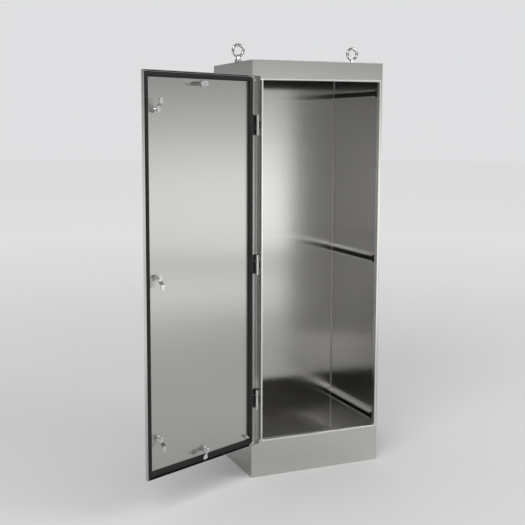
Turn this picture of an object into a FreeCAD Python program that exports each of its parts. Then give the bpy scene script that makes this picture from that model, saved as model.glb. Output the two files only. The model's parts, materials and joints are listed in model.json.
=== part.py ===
"""Free-standing stainless switchboard cabinet with one swinging door.

Units are millimetres.  +Z is up, +X is to the right of someone facing the door, and the door
side faces -Y.  The origin is the centre of the footprint on the floor.  Everything on the door
is drawn with the door shut and then swung open about the hinge line by OPEN_ANGLE.
"""
import FreeCAD
import Part
import math
import os

# ---------------------------------------------------------------- driving dimensions
WIDTH = 635.0
DEPTH = 457.0
HEIGHT = 1829.0
SHEET = 2.0            # body sheet
EDGE_ROUND = 1.8       # ground outer corners of the welded body

HEADER = 67.0          # body face showing above the door
PLINTH = 158.0         # body face showing below the door

DOOR_PROUD = 36.5      # door face in front of the body face
DOOR_SHEET = 2.0
DOOR_RETURN = 17.5     # depth of the folded door edge
DOOR_BEND = 5.0        # outer radius of the folded door edge
DOOR_CORNER = 3.0

OPENING_LEFT = 45.0    # clear opening, measured from the left side and from the floor
OPENING_RIGHT = 609.0
OPENING_BOTTOM = 174.0
OPENING_TOP = 1744.0
COLLAR_WIDTH = 9.0     # rolled lip round the opening
COLLAR_HEIGHT = 20.0
COLLAR_CORNER = 12.0
COLLAR_ROUND = 2.5

RECESS_DEPTH = 8.0     # channel beside the hinge line that the door edge swings into
RECESS_MARGIN = 2.0

GASKET_WIDTH = 20.0
GASKET_THICK = 13.0
GASKET_INSET = 6.0
GASKET_HINGE_INSET = 38.0
GASKET_CORNER = 14.0

OPEN_ANGLE = 157.0
PIVOT_INSET = 17.5     # hinge line from the left side
PIVOT_PROUD = 18.5     # hinge line in front of the body face
HINGE_CENTRES = {"upper": 1554.0, "middle": 955.0, "lower": 358.0}
HINGE_HEIGHT = 85.0
HINGE_LEAF = 3.0
KNUCKLE_R = 5.5
DOOR_KNUCKLE_R = 6.5
DOOR_KNUCKLE_HEIGHT = 30.4
KNUCKLE_GAP = 0.3
PIN_R = 3.0
PIN_CLEARANCE = 0.05
PIN_HEAD_R = 4.6
PIN_HEAD_HEIGHT = 2.0
NOTCH_HEIGHT = 93.0
NOTCH_START = 31.0     # the notch in the door's folded edge starts this far in front of the body

LATCH_SIDE_X = 570.0   # from the left side
LATCH_MIDDLE_X = WIDTH / 2
# name: (distance from left side, height, cam direction at rest, in degrees from straight up)
LATCHES = {
    "upper": (LATCH_SIDE_X, 1611.0, 0.0),
    "middle": (LATCH_SIDE_X, 962.0, 180.0),
    "lower": (LATCH_SIDE_X, 315.0, 180.0),
    "top": (LATCH_MIDDLE_X, 1718.0, 90.0),
    "bottom": (LATCH_MIDDLE_X, 208.0, 120.0),
}
HEAD_R = 14.0
HEAD_HEIGHT = 4.5
HEAD_CHAMFER = 1.0
BARREL_R = 9.0
BARREL_END = 14.0      # barrel stops this far in front of the body face
INSERT_R = 7.42
INSERT_POCKET_R = 7.5
INSERT_THICK = 3.4
SPINDLE_R = 5.0
SPINDLE_BORE_R = 5.06
SQUARE = 7.0
CAM_THICK = 3.0
CAM_LENGTH = 46.0
CAM_BASE_START = 9.0
CAM_BASE_END = 13.0
CAM_CRANK_END = 25.0
CAM_BLADE_START = 29.0
CAM_BACK = 2.5         # locked cam's front face, behind the body face
NUT_ACROSS = 24.0
NUT_HEIGHT = 6.0
SCREW_HEAD_R = 6.5
SCREW_HEAD_HEIGHT = 3.5
SCREW_R = 2.5
SCREW_LENGTH = 12.0

RAIL_CENTRES = {"top": 1695.0, "middle": 947.0, "bottom": 205.0}
RAIL_HEIGHT = 35.0
RAIL_DEPTH = 25.0
RAIL_FRONT = 24.0
RAIL_BACK = 6.0
RAIL_GAP = 21.0        # mouth of the channel, between its two lips
RAIL_LIP = 6.0         # how far the lips turn back into the channel

BAR_WIDTH = 50.0       # flat bars on the floor, over the anchor holes
BAR_THICK = 5.0
BAR_HOLE_R = 9.0
ANCHOR_R = 7.0
ANCHOR_SIDE = 25.5     # anchor holes from the sides, and from the front and back
ANCHOR_END = 50.0

EYE_INSET = 30.0
EYE_RING_R = 24.5
EYE_WIRE_R = 6.5
EYE_CENTRE = 55.0      # ring centre above the top
EYE_COLLAR_R = 15.5
EYE_COLLAR_HEIGHT = 11.0
EYE_WASHER_R = 18.0
EYE_WASHER_THICK = 3.0
EYE_SHANK_R = 8.0
EYE_SHANK_LENGTH = 30.0
EYE_HOLE_R = 8.5
PLATE_WIDTH = 46.0
PLATE_DEPTH = 60.0
PLATE_THICK = 5.0
EYE_NUT_ACROSS = 24.0
EYE_NUT_HEIGHT = 13.0

STUD_R = 4.0
STUD_LENGTH = 22.0
STUD_NUT_ACROSS = 13.0
STUD_NUT_HEIGHT = 6.5
DOOR_STUD = (75.0, 203.0)      # from the left side, height
BODY_STUD = (70.0, 250.0)      # from the front, height

# ---------------------------------------------------------------- derived positions
LEFT = -WIDTH / 2
RIGHT = WIDTH / 2
FRONT = -DEPTH / 2
BACK = DEPTH / 2
TOP_UNDER = HEIGHT - SHEET
DOOR_TOP = HEIGHT - HEADER
DOOR_FACE = FRONT - DOOR_PROUD
DOOR_INNER = DOOR_FACE + DOOR_SHEET
DOOR_EDGE = DOOR_FACE + DOOR_RETURN
PIVOT_X = LEFT + PIVOT_INSET
PIVOT_Y = FRONT - PIVOT_PROUD
COLLAR_X0 = LEFT + OPENING_LEFT - COLLAR_WIDTH
COLLAR_X1 = LEFT + OPENING_RIGHT + COLLAR_WIDTH
COLLAR_Z0 = OPENING_BOTTOM - COLLAR_WIDTH
COLLAR_Z1 = OPENING_TOP + COLLAR_WIDTH
RECESS_Z0 = PLINTH - RECESS_MARGIN
RECESS_Z1 = DOOR_TOP + RECESS_MARGIN
Z_AXIS = FreeCAD.Vector(0, 0, 1)
Y_AXIS = FreeCAD.Vector(0, 1, 0)


def box(x0, x1, y0, y1, z0, z1):
    """A block between two corners."""
    return Part.makeBox(x1 - x0, y1 - y0, z1 - z0, FreeCAD.Vector(x0, y0, z0))


def rod_y(x, z, radius, y0, y1):
    """A round bar along +Y from y0 to y1."""
    return Part.makeCylinder(radius, y1 - y0, FreeCAD.Vector(x, y0, z), Y_AXIS)


def rod_z(x, y, radius, z0, z1):
    """A round bar along +Z from z0 to z1."""
    return Part.makeCylinder(radius, z1 - z0, FreeCAD.Vector(x, y, z0), Z_AXIS)


def rod_x(y, z, radius, x0, x1):
    """A round bar along +X from x0 to x1."""
    return Part.makeCylinder(radius, x1 - x0, FreeCAD.Vector(x0, y, z), FreeCAD.Vector(1, 0, 0))


def prism(points, direction):
    """A straight extrusion of a closed outline."""
    vectors = [FreeCAD.Vector(*p) for p in points]
    wire = Part.makePolygon(vectors + vectors[:1])
    return Part.Face(wire).extrude(FreeCAD.Vector(*direction))


def hexagon(across, height):
    """A hexagonal bar along +Z, standing on the origin."""
    radius = across / math.sqrt(3)
    corners = []
    for step in range(6):
        angle = math.radians(60 * step)
        corners.append((radius * math.cos(angle), radius * math.sin(angle), 0))
    return prism(corners, (0, 0, height))


def hex_nut_z(x, y, z0, across, height, bore):
    """A nut on a vertical bolt."""
    nut = hexagon(across, height).cut(rod_z(0, 0, bore, 0, height))
    nut.translate(FreeCAD.Vector(x, y, z0))
    return nut


def hex_nut_y(x, z, y0, across, height, bore):
    """A nut on a bolt along +Y, with its first face at y0."""
    nut = hexagon(across, height).cut(rod_z(0, 0, bore, 0, height))
    nut.rotate(FreeCAD.Vector(0, 0, 0), FreeCAD.Vector(1, 0, 0), -90)
    nut.translate(FreeCAD.Vector(x, y0, z))
    return nut


def rounded_block(x0, x1, y0, y1, z0, z1, radius):
    """A block with its four edges along Y rounded."""
    block = box(x0, x1, y0, y1, z0, z1)
    edges = [e for e in block.Edges if abs(e.tangentAt(e.FirstParameter).y) > 0.9]
    return block.makeFillet(radius, edges)


def ring(x0, x1, z0, z1, y0, y1, width, corner):
    """A picture frame in the XZ plane with rounded corners."""
    outer = rounded_block(x0, x1, y0, y1, z0, z1, corner)
    inner = rounded_block(x0 + width, x1 - width, y0, y1, z0 + width, z1 - width,
                          max(corner - width, 1.0))
    return outer.cut(inner)


def mitred(frame, x0, x1, z0, z1, y0, y1, width):
    """Split a picture frame along its mitres into its four sides."""
    o = {"tl": (x0, z1), "tr": (x1, z1), "br": (x1, z0), "bl": (x0, z0)}
    i = {"tl": (x0 + width, z1 - width), "tr": (x1 - width, z1 - width),
         "br": (x1 - width, z0 + width), "bl": (x0 + width, z0 + width)}
    sides = {}
    for name, a, b in (("top", "tl", "tr"), ("right", "tr", "br"),
                       ("bottom", "br", "bl"), ("left", "bl", "tl")):
        outline = [(p[0], y0, p[1]) for p in (o[a], o[b], i[b], i[a])]
        sides[name] = frame.common(prism(outline, (0, y1 - y0, 0)))
    return sides


def save(name, shape):
    """Write one sub-part."""
    shape.exportStep(os.path.join("parts", name + ".step"))


def swing(shape):
    """Turn a shape drawn on the shut door to the open rest position."""
    moved = shape.copy()
    moved.rotate(FreeCAD.Vector(PIVOT_X, PIVOT_Y, 0), Z_AXIS, -OPEN_ANGLE)
    return moved


def round_edges(shape, radius, wanted):
    """Fillet the straight edges whose middle point passes a test."""
    edges = []
    for edge in shape.Edges:
        middle = edge.valueAt((edge.FirstParameter + edge.LastParameter) / 2)
        if wanted(middle):
            edges.append(edge)
    return shape.makeFillet(radius, edges)


# ---------------------------------------------------------------- welded body
def side_panel(outer_x, inner_x):
    """One side wall, with its outer front and rear corners ground round."""
    wall = box(min(outer_x, inner_x), max(outer_x, inner_x), FRONT, BACK, 0, TOP_UNDER)
    return round_edges(wall, EDGE_ROUND, lambda m: abs(m.x - outer_x) < 0.1
                       and abs(abs(m.y) - BACK) < 0.1)


def top_panel():
    """The roof, rounded on its outer edges, with two holes for the lifting eyes."""
    roof = box(LEFT, RIGHT, FRONT, BACK, TOP_UNDER, HEIGHT)
    roof = round_edges(roof, EDGE_ROUND, lambda m: abs(m.z - HEIGHT) < 0.1
                       or abs(m.z - TOP_UNDER - SHEET / 2) < 0.1)
    for x in (LEFT + EYE_INSET, RIGHT - EYE_INSET):
        roof = roof.cut(rod_z(x, 0, EYE_HOLE_R, TOP_UNDER, HEIGHT))
    return roof


def front_sheet():
    """The flush front face: a plate with the door opening and the hinge channel cut out."""
    plate = box(LEFT + SHEET, RIGHT - SHEET, FRONT, FRONT + SHEET, 0, TOP_UNDER)
    hole = rounded_block(COLLAR_X0, COLLAR_X1, FRONT, FRONT + SHEET, COLLAR_Z0, COLLAR_Z1,
                         COLLAR_CORNER)
    channel = box(LEFT + SHEET, COLLAR_X0, FRONT, FRONT + SHEET, RECESS_Z0, RECESS_Z1)
    return plate.cut(hole).cut(channel)


def front_pieces():
    """The front face as header, latch-side jamb and plinth."""
    plate = front_sheet()
    upper = COLLAR_Z1 - COLLAR_CORNER
    lower = COLLAR_Z0 + COLLAR_CORNER
    pieces = {}
    for name, z0, z1 in (("front_header", upper, TOP_UNDER), ("latch_jamb", lower, upper),
                         ("front_plinth", 0, lower)):
        pieces[name] = plate.common(box(LEFT, RIGHT, FRONT, FRONT + SHEET, z0, z1))
    return pieces


def hinge_jamb():
    """The folded channel behind the hinge line, with its two end caps."""
    y0 = FRONT + SHEET
    y1 = FRONT + RECESS_DEPTH
    x0 = LEFT + SHEET
    x1 = COLLAR_X0 + SHEET
    jamb = box(x0, x1, y1, y1 + SHEET, RECESS_Z0 - SHEET, RECESS_Z1 + SHEET)
    jamb = jamb.fuse(box(COLLAR_X0, x1, y0, y1, RECESS_Z0 - SHEET, RECESS_Z1 + SHEET))
    jamb = jamb.fuse(box(x0, COLLAR_X0, y0, y1, RECESS_Z0 - SHEET, RECESS_Z0))
    jamb = jamb.fuse(box(x0, COLLAR_X0, y0, y1, RECESS_Z1, RECESS_Z1 + SHEET))
    return jamb.removeSplitter()


def collar_sides():
    """The rolled lip round the opening, welded at its mitred corners."""
    y0 = FRONT - COLLAR_HEIGHT
    y1 = FRONT + SHEET
    outline = (COLLAR_X0, COLLAR_X1, COLLAR_Z0, COLLAR_Z1)
    solid = ring(*outline, y0, y1, COLLAR_WIDTH, COLLAR_CORNER)
    nose = [e for e in solid.Edges if all(abs(v.Y - y0) < 0.01 for v in e.Vertexes)]
    solid = solid.makeFillet(COLLAR_ROUND, nose)
    groove_width = COLLAR_WIDTH - 2 * SHEET
    groove = ring(COLLAR_X0 + SHEET, COLLAR_X1 - SHEET, COLLAR_Z0 + SHEET, COLLAR_Z1 - SHEET,
                  y0 + SHEET, y1, groove_width, COLLAR_CORNER - SHEET)
    return mitred(solid.cut(groove), *outline, y0, y1, COLLAR_WIDTH)


def rail(wall_x, inward, centre):
    """A lipped channel on a side wall; inward is +1 on the left wall, -1 on the right."""
    face = wall_x + inward * RAIL_DEPTH
    skin = face - inward * SHEET
    turned = face - inward * RAIL_LIP
    web = wall_x + inward * SHEET
    y0 = FRONT + RAIL_FRONT
    y1 = BACK - RAIL_BACK
    half = RAIL_HEIGHT / 2
    gap = RAIL_GAP / 2
    bar = box(min(wall_x, face), max(wall_x, face), y0, y1, centre - half, centre + half)
    bar = round_edges(bar, SHEET, lambda m: abs(m.x - face) < 0.1 and abs(m.y) < 20)
    bar = bar.cut(box(min(web, skin), max(web, skin), y0, y1, centre - half + SHEET,
                      centre + half - SHEET))
    bar = bar.cut(box(min(skin, face), max(skin, face), y0, y1, centre - gap, centre + gap))
    for z0, z1 in ((centre - gap - SHEET, centre - gap), (centre + gap, centre + gap + SHEET)):
        bar = bar.fuse(box(min(turned, skin), max(turned, skin), y0, y1, z0, z1))
    return bar.removeSplitter()


def anchor_places():
    """The centres of the four anchor holes."""
    xs = (LEFT + ANCHOR_SIDE, RIGHT - ANCHOR_SIDE)
    ys = (FRONT + ANCHOR_END, BACK - ANCHOR_END)
    return [(x, y) for x in xs for y in ys]


def floor_pan():
    """The bottom sheet, drilled for four anchor bolts."""
    pan = box(LEFT + SHEET, RIGHT - SHEET, FRONT + SHEET, BACK - SHEET, 0, SHEET)
    for x, y in anchor_places():
        pan = pan.cut(rod_z(x, y, ANCHOR_R, 0, SHEET))
    return pan


def anchor_bar(wall_x, inward):
    """The flat bar that stiffens the bottom sheet along a side wall, round the anchor holes."""
    edge = wall_x + inward * BAR_WIDTH
    bar = box(min(wall_x, edge), max(wall_x, edge), FRONT + SHEET, BACK - SHEET, SHEET,
              SHEET + BAR_THICK)
    for x, y in anchor_places():
        bar = bar.cut(rod_z(x, y, BAR_HOLE_R, SHEET, SHEET + BAR_THICK))
    return bar


# ---------------------------------------------------------------- lifting eyes
def lifting_eye(x):
    """A forged eye bolt: ring, neck, collar and shank."""
    seat = HEIGHT + EYE_WASHER_THICK
    collar_top = seat + EYE_COLLAR_HEIGHT
    centre = HEIGHT + EYE_CENTRE
    eye = Part.makeTorus(EYE_RING_R, EYE_WIRE_R, FreeCAD.Vector(x, 0, centre), Y_AXIS)
    neck_end = centre - EYE_RING_R
    neck = Part.makeCone(EYE_COLLAR_R - 4, EYE_WIRE_R, neck_end - collar_top,
                         FreeCAD.Vector(x, 0, collar_top), Z_AXIS)
    collar = rod_z(x, 0, EYE_COLLAR_R, seat, collar_top)
    collar = collar.makeChamfer(1.5, [e for e in collar.Edges
                                      if len(e.Vertexes) == 1 and e.Vertexes[0].Z > seat + 1])
    shank = rod_z(x, 0, EYE_SHANK_R, HEIGHT - EYE_SHANK_LENGTH, seat)
    return eye.fuse([neck, collar, shank])


def eye_washer(x):
    """The sealing washer under a lifting eye."""
    disc = rod_z(x, 0, EYE_WASHER_R, HEIGHT, HEIGHT + EYE_WASHER_THICK)
    return disc.cut(rod_z(x, 0, EYE_HOLE_R, HEIGHT, HEIGHT + EYE_WASHER_THICK))


def eye_plate(x):
    """The plate inside the roof that spreads a lifting eye's load."""
    z0 = TOP_UNDER - PLATE_THICK
    plate = box(x - PLATE_WIDTH / 2, x + PLATE_WIDTH / 2, -PLATE_DEPTH / 2, PLATE_DEPTH / 2,
                z0, TOP_UNDER)
    return plate.cut(rod_z(x, 0, EYE_HOLE_R, z0, TOP_UNDER))


def eye_nut(x):
    """The nut on a lifting eye's shank."""
    z0 = TOP_UNDER - PLATE_THICK - EYE_NUT_HEIGHT
    return hex_nut_z(x, 0, z0, EYE_NUT_ACROSS, EYE_NUT_HEIGHT, EYE_SHANK_R + PIN_CLEARANCE)


# ---------------------------------------------------------------- hinges
def body_leaf(centre):
    """The fixed leaf: an arm with two knuckles, welded to the side of the lip."""
    z0 = centre - HINGE_HEIGHT / 2
    z1 = centre + HINGE_HEIGHT / 2
    gap = DOOR_KNUCKLE_HEIGHT / 2 + KNUCKLE_GAP
    arm_y1 = PIVOT_Y + KNUCKLE_R
    arm_y0 = arm_y1 - HINGE_LEAF
    foot_x0 = COLLAR_X0 - HINGE_LEAF
    leaf = box(foot_x0, COLLAR_X0, arm_y0, FRONT, z0, z1)
    for low, high in ((z0, centre - gap), (centre + gap, z1)):
        leaf = leaf.fuse(box(PIVOT_X, foot_x0, arm_y0, arm_y1, low, high))
        leaf = leaf.fuse(rod_z(PIVOT_X, PIVOT_Y, KNUCKLE_R, low, high))
    bore = rod_z(PIVOT_X, PIVOT_Y, PIN_R + PIN_CLEARANCE, z0, z1)
    return leaf.cut(bore).removeSplitter()


def door_leaf(centre):
    """The moving leaf: one knuckle on a foot welded to the inside of the door."""
    z0 = centre - DOOR_KNUCKLE_HEIGHT / 2
    z1 = centre + DOOR_KNUCKLE_HEIGHT / 2
    half = HINGE_LEAF / 2
    foot_x1 = LEFT + GASKET_HINGE_INSET - 2
    leaf = box(PIVOT_X - half, PIVOT_X + half, DOOR_INNER, PIVOT_Y, z0, z1)
    leaf = leaf.fuse(box(PIVOT_X - half, foot_x1, DOOR_INNER, DOOR_INNER + HINGE_LEAF, z0, z1))
    leaf = leaf.fuse(rod_z(PIVOT_X, PIVOT_Y, DOOR_KNUCKLE_R, z0, z1))
    bore = rod_z(PIVOT_X, PIVOT_Y, PIN_R + PIN_CLEARANCE, z0, z1)
    return leaf.cut(bore).removeSplitter()


def hinge_pin(centre):
    """A headed pin through the three knuckles."""
    top = centre + HINGE_HEIGHT / 2
    pin = rod_z(PIVOT_X, PIVOT_Y, PIN_R, centre - HINGE_HEIGHT / 2 - 1, top)
    return pin.fuse(rod_z(PIVOT_X, PIVOT_Y, PIN_HEAD_R, top, top + PIN_HEAD_HEIGHT))


# ---------------------------------------------------------------- door
def folded_tray(inset, back):
    """The solid bounded by the door sheet's outer face, or by its inner face when inset."""
    x0 = LEFT + inset
    x1 = RIGHT - inset
    y0 = DOOR_FACE + inset
    z0 = PLINTH + inset
    z1 = DOOR_TOP - inset
    block = rounded_block(x0, x1, y0, back, z0, z1, DOOR_CORNER - inset / 2)
    rim = [e for e in block.Edges if all(abs(v.Y - y0) < 0.01 for v in e.Vertexes)]
    return block.makeFillet(DOOR_BEND - inset, rim)


def door_panel():
    """The door sheet, folded back on all four edges, with latch holes and hinge notches."""
    door = folded_tray(0.0, DOOR_EDGE).cut(folded_tray(DOOR_SHEET, DOOR_EDGE + 5))
    for x, z, _ in LATCHES.values():
        door = door.cut(rod_y(LEFT + x, z, BARREL_R + 0.1, DOOR_FACE - 1, DOOR_INNER + 1))
    for centre in HINGE_CENTRES.values():
        door = door.cut(box(LEFT - 1, LEFT + DOOR_SHEET + 0.5, FRONT - NOTCH_START, FRONT,
                            centre - NOTCH_HEIGHT / 2, centre + NOTCH_HEIGHT / 2))
    return door


def gasket_sides():
    """The foam seal on the inside of the door, as four mitred strips."""
    outline = (LEFT + GASKET_HINGE_INSET, RIGHT - GASKET_INSET, PLINTH + GASKET_INSET,
               DOOR_TOP - GASKET_INSET)
    y1 = DOOR_INNER + GASKET_THICK
    frame = ring(*outline, DOOR_INNER, y1, GASKET_WIDTH, GASKET_CORNER)
    return mitred(frame, *outline, DOOR_INNER, y1, GASKET_WIDTH)


# ---------------------------------------------------------------- quarter-turn latches
def latch_housing(x, z):
    """A round head outside the door and a threaded barrel through it, bored for the spindle."""
    face = DOOR_FACE - HEAD_HEIGHT
    end = FRONT - BARREL_END
    head = rod_y(x, z, HEAD_R, face, DOOR_FACE)
    rim = [e for e in head.Edges if len(e.Vertexes) == 1 and e.Vertexes[0].Y < face + 0.1]
    head = head.makeChamfer(HEAD_CHAMFER, rim)
    housing = head.fuse(rod_y(x, z, BARREL_R, DOOR_FACE, end))
    housing = housing.cut(rod_y(x, z, SPINDLE_BORE_R, face, end))
    pocket_floor = face + INSERT_THICK + 0.6
    return housing.cut(rod_y(x, z, INSERT_POCKET_R, face, pocket_floor))


def latch_nut(x, z):
    """The nut that clamps a latch housing to the door."""
    return hex_nut_y(x, z, DOOR_INNER, NUT_ACROSS, NUT_HEIGHT, BARREL_R + PIN_CLEARANCE)


def latch_spindle(x, z):
    """The turning core: a slotted insert in the head, a shaft and a square end."""
    face = DOOR_FACE - HEAD_HEIGHT + 0.4
    insert_back = face + INSERT_THICK
    shoulder = FRONT - BARREL_END + 0.3
    square_end = shoulder + CAM_THICK
    half = SQUARE / 2
    core = rod_y(x, z, INSERT_R, face, insert_back)
    core = core.fuse(rod_y(x, z, SPINDLE_R, insert_back, shoulder))
    core = core.fuse(box(x - half, x + half, shoulder, square_end, z - half, z + half))
    core = core.cut(box(x - 1.1, x + 1.1, face, face + 1.8, z - 6, z + 6))
    return core.cut(rod_y(x, z, SCREW_R, square_end - SCREW_LENGTH, square_end))


def latch_cam(x, z):
    """The cranked cam, drawn pointing straight up."""
    near = FRONT - BARREL_END + 0.3
    far = FRONT + CAM_BACK
    slip = CAM_THICK * 0.47
    side = [(-CAM_BASE_START, near), (CAM_BASE_END, near), (CAM_CRANK_END, far),
            (CAM_LENGTH, far), (CAM_LENGTH, far + CAM_THICK),
            (CAM_CRANK_END - slip, far + CAM_THICK), (CAM_BASE_END - slip, near + CAM_THICK),
            (-CAM_BASE_START, near + CAM_THICK)]
    blade = prism([(x - 12, y, z + s) for s, y in side], (24, 0, 0))
    edge = [(9, -CAM_BASE_START), (9, CAM_BASE_END), (7.5, CAM_CRANK_END),
            (10.5, CAM_BLADE_START), (5.5, CAM_LENGTH)]
    outline = edge + [(-w, s) for w, s in reversed(edge)]
    plan = prism([(x + w, near - 1, z + s) for w, s in outline], (0, 40, 0))
    half = SQUARE / 2 + PIN_CLEARANCE
    blade = blade.common(plan)
    return blade.cut(box(x - half, x + half, near - 1, near + CAM_THICK + 1, z - half, z + half))


def cam_screw(x, z):
    """The pan-head screw that holds the cam on the spindle."""
    seat = FRONT - BARREL_END + 0.3 + CAM_THICK
    head = rod_y(x, z, SCREW_HEAD_R, seat, seat + SCREW_HEAD_HEIGHT)
    rim = [e for e in head.Edges if len(e.Vertexes) == 1 and e.Vertexes[0].Y > seat + 1]
    head = head.makeFillet(1.2, rim)
    head = head.cut(box(x - 0.8, x + 0.8, seat + 2, seat + 5, z - 7, z + 7))
    return head.fuse(rod_y(x, z, SCREW_R - PIN_CLEARANCE, seat - SCREW_LENGTH + 1, seat))


# ---------------------------------------------------------------- earthing studs
def door_stud():
    """The earthing stud welded inside the door."""
    x = LEFT + DOOR_STUD[0]
    return rod_y(x, DOOR_STUD[1], STUD_R, DOOR_INNER, DOOR_INNER + STUD_LENGTH)


def door_stud_nut():
    """The nut on the door's earthing stud."""
    return hex_nut_y(LEFT + DOOR_STUD[0], DOOR_STUD[1], DOOR_INNER + 6, STUD_NUT_ACROSS,
                     STUD_NUT_HEIGHT, STUD_R + PIN_CLEARANCE)


def body_stud():
    """The earthing stud welded inside the left wall."""
    x0 = LEFT + SHEET
    return rod_x(FRONT + BODY_STUD[0], BODY_STUD[1], STUD_R, x0, x0 + STUD_LENGTH)


def body_stud_nut():
    """The nut on the body's earthing stud."""
    nut = hexagon(STUD_NUT_ACROSS, STUD_NUT_HEIGHT)
    nut = nut.cut(rod_z(0, 0, STUD_R + PIN_CLEARANCE, 0, STUD_NUT_HEIGHT))
    nut.rotate(FreeCAD.Vector(0, 0, 0), Y_AXIS, 90)
    nut.translate(FreeCAD.Vector(LEFT + SHEET + 6, FRONT + BODY_STUD[0], BODY_STUD[1]))
    return nut


def build_body():
    """Write the welded body and everything fixed to it."""
    save("left_side_panel", side_panel(LEFT, LEFT + SHEET))
    save("right_side_panel", side_panel(RIGHT, RIGHT - SHEET))
    save("back_panel", box(LEFT + SHEET, RIGHT - SHEET, BACK - SHEET, BACK, 0, TOP_UNDER))
    save("top_panel", top_panel())
    save("floor_pan", floor_pan())
    for name, piece in front_pieces().items():
        save(name, piece)
    save("hinge_jamb", hinge_jamb())
    for side, piece in collar_sides().items():
        save("opening_lip_" + side, piece)
    for side, wall_x, inward in (("left", LEFT + SHEET, 1), ("right", RIGHT - SHEET, -1)):
        save("anchor_bar_" + side, anchor_bar(wall_x, inward))
        for level, centre in RAIL_CENTRES.items():
            save("rail_" + side + "_" + level, rail(wall_x, inward, centre))
    eyes = (("left", LEFT + EYE_INSET), ("right", RIGHT - EYE_INSET))
    for side, x in eyes:
        save("lifting_eye_" + side, lifting_eye(x))
    save("eye_washers", Part.makeCompound([eye_washer(x) for _, x in eyes]))
    save("eye_backing_plates", Part.makeCompound([eye_plate(x) for _, x in eyes]))
    save("eye_nuts", Part.makeCompound([eye_nut(x) for _, x in eyes]))
    for level, centre in HINGE_CENTRES.items():
        save("hinge_leaf_body_" + level, body_leaf(centre))
    save("hinge_pins", Part.makeCompound([hinge_pin(c) for c in HINGE_CENTRES.values()]))
    save("body_earth_stud", body_stud())
    save("body_earth_nut", body_stud_nut())


def build_door():
    """Write the door and everything fixed to it, in the open position."""
    save("door_panel", swing(door_panel()))
    for side, strip in gasket_sides().items():
        save("door_gasket_" + side, swing(strip))
    for level, centre in HINGE_CENTRES.items():
        save("hinge_leaf_door_" + level, swing(door_leaf(centre)))
    places = [(LEFT + x, z) for x, z, _ in LATCHES.values()]
    save("latch_housings", swing(Part.makeCompound([latch_housing(x, z) for x, z in places])))
    save("latch_nuts", swing(Part.makeCompound([latch_nut(x, z) for x, z in places])))
    save("door_earth_stud", swing(door_stud()))
    save("door_earth_nut", swing(door_stud_nut()))


def build_latches():
    """Write the turning core, cam and screw of each latch, unlocked on the open door."""
    for name, (from_left, z, angle) in LATCHES.items():
        x = LEFT + from_left
        pieces = {"latch_spindle_": latch_spindle(x, z), "latch_cam_": latch_cam(x, z),
                  "cam_screw_": cam_screw(x, z)}
        for prefix, piece in pieces.items():
            piece.rotate(FreeCAD.Vector(x, 0, z), Y_AXIS, angle)
            save(prefix + name, swing(piece))


os.makedirs("parts", exist_ok=True)
build_body()
build_door()
build_latches()
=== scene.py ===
"""Looks for a free-standing stainless switchboard cabinet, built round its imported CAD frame.

Lengths are metres in the frame's own axes: +Z is up, the door side faces -Y, and the origin is
the centre of the footprint on the floor.  Pieces on the door are drawn with the door shut and
then swung to the open rest position.
"""
import json
import math

import bmesh
import bpy
from mathutils import Matrix, Vector


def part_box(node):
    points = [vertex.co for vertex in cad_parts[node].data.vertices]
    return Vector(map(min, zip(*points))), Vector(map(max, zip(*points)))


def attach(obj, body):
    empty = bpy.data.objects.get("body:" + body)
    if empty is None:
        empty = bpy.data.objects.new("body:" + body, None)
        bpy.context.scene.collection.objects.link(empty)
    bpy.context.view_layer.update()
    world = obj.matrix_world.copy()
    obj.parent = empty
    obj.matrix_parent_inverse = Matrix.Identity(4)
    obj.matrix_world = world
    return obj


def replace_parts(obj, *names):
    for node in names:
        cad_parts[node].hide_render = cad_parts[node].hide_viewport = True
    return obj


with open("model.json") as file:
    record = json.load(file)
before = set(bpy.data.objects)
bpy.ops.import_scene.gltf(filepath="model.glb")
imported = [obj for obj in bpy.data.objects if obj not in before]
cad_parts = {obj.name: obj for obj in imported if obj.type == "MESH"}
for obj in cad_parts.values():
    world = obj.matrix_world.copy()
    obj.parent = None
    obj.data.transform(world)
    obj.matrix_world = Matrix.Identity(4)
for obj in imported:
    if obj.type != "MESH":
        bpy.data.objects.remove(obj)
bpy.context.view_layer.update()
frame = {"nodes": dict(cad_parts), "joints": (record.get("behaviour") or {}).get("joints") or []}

MM = 0.001

# ---------------------------------------------------------------- camera, floor and light
CAMERA_PLACE = (-1.869, -3.887, 1.544)
CAMERA_AZIMUTH = 22.14     # degrees, turned from +Y towards +X
CAMERA_PITCH = -6.5        # degrees
CAMERA_SHIFT = (0.0463, -0.0555)
LENS = 63.74
SENSOR = 36.0

FLOOR_RADIUS = 40.0
FLOOR_REACH = 9.0          # metres over which a floor's paint changes
# the plain floor, as (distance from its middle as a share of FLOOR_REACH, paleness of the paint)
PLAIN_STEPS = ((0.0, 0.60), (0.2, 0.62), (0.6, 0.80), (1.0, 0.90))
# the same for the floor that only reflections see, which lies just above the plain one
MIRRORED_PLACE = (0.8, 0.6, 0.5 * MM)
MIRRORED_STEPS = ((0.0, 0.63), (0.07, 0.62), (0.13, 0.50), (0.20, 0.46), (0.26, 0.48), (0.33, 0.53),
                  (0.41, 0.74), (0.49, 0.90), (1.0, 0.93))
HAZE_COLOUR = (0.735, 0.74, 0.75)       # what the camera sees beyond the floor
ROOM_LIGHT = 0.80                      # even light from all round, on the floor and dull parts
ROOM_MIRROR = 0.30                     # what reflections see above the light ring
RING_RADIUS = 7.0
RING_HEIGHT = 5.0
# (height on the ring as a share of RING_HEIGHT, brightness)
RING_STEPS = ((0.0, 1.02), (0.07, 1.12), (0.13, 1.14), (0.18, 1.10), (0.24, 0.98), (0.31, 0.75),
              (0.40, 0.54), (0.50, 0.33), (0.62, 0.16), (1.0, 0.10))
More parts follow.
